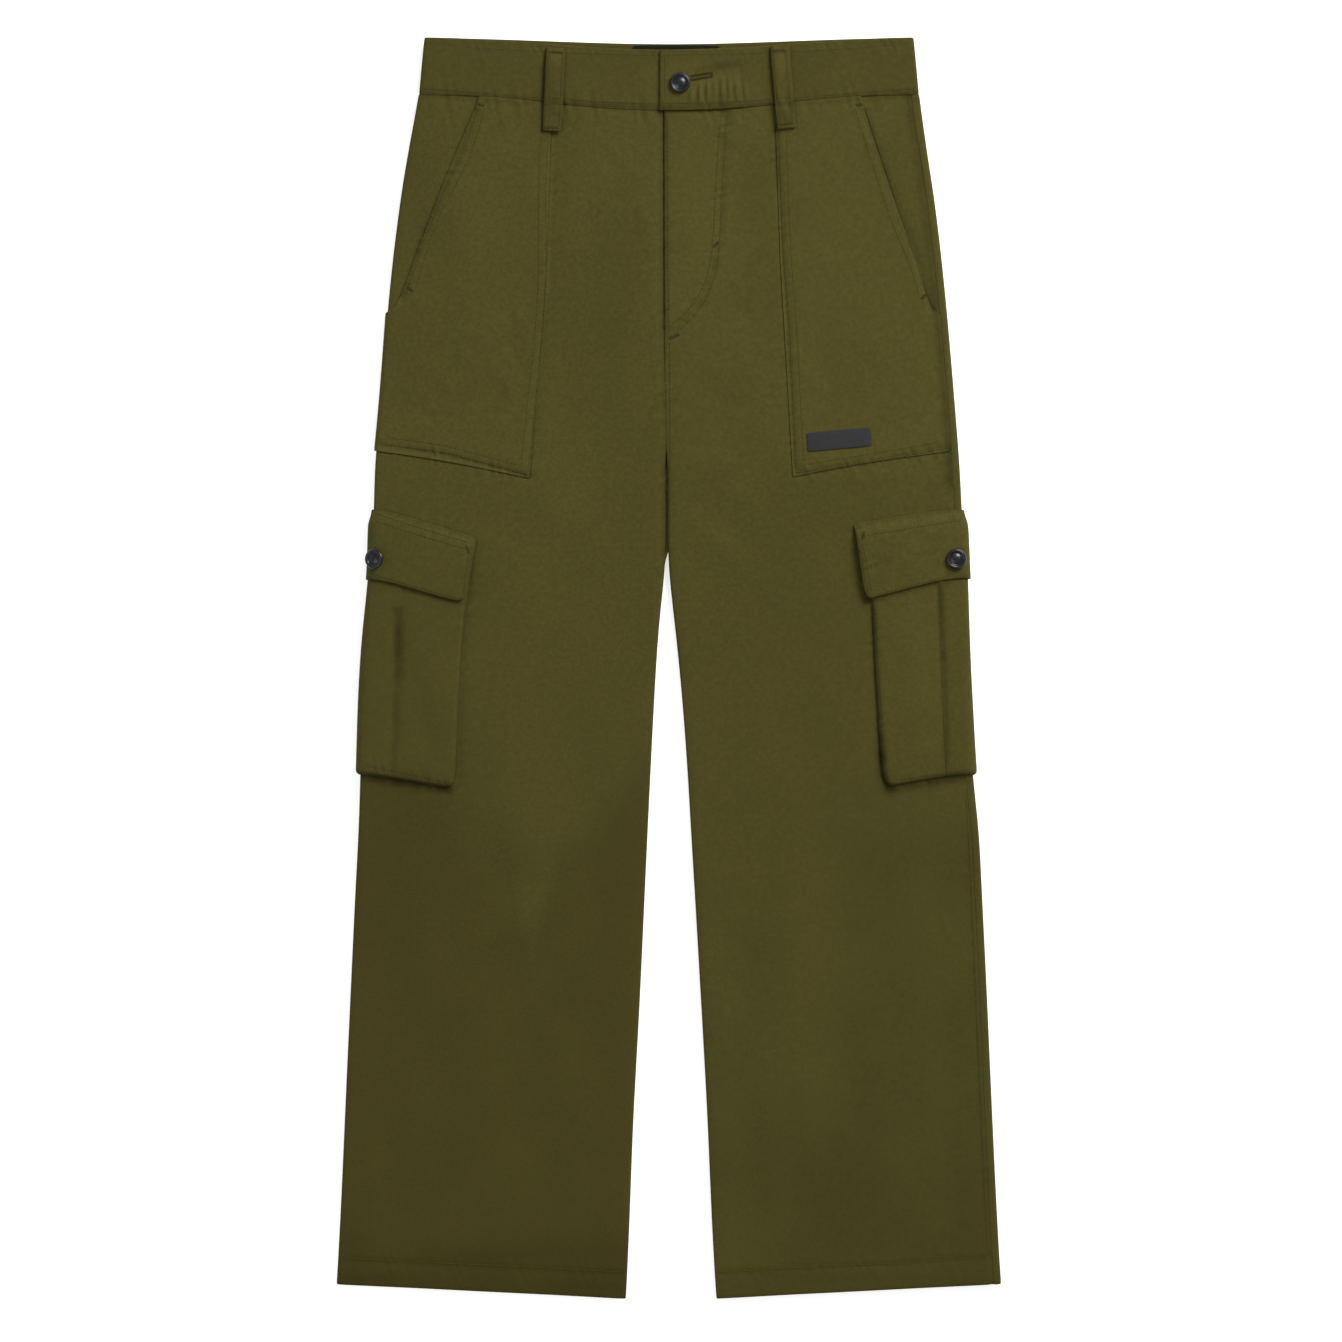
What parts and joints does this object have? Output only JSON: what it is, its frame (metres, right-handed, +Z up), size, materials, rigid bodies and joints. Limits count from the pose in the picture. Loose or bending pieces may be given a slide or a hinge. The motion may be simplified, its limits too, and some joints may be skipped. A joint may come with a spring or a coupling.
{
  "type": "cargo pants",
  "caption": "Olive twill cargo pants laid flat, front up, with patch hip pockets, pleated flapped cargo pockets and a buttoned waist.",
  "frame": {"origin": "middle of the garment's outline in plan, on the surface that it lies on", "axes": "+Z up from the surface, out of the front of the pants; +Y along the legs to the waist; +X to the wearer's left"},
  "size_m": [0.5451, 1.034, 0.0221],
  "materials": {
    "twill": "matte olive cotton twill, lightly napped",
    "button_metal": "dark gunmetal, satin",
    "tag_cloth": "charcoal woven tape, plain",
    "label_cloth": "near-black woven strip, plain"
  },
  "bodies": {
    "root": {"front_leg_right": "twill", "back_leg_right": "twill", "hip_pocket_right": "twill", "cargo_pocket_right": "twill", "cargo_flap_right": "twill", "flap_button_right": "button_metal", "front_leg_left": "twill", "back_leg_left": "twill", "hip_pocket_left": "twill", "cargo_pocket_left": "twill", "cargo_flap_left": "twill", "flap_button_left": "button_metal", "waistband": "twill", "belt_loop_front_right": "twill", "belt_loop_front_left": "twill", "belt_loop_back_right": "twill", "belt_loop_back_middle": "twill", "belt_loop_back_left": "twill", "waist_button": "button_metal", "pocket_tag": "tag_cloth", "waist_label": "label_cloth"}
  },
  "joints": []
}
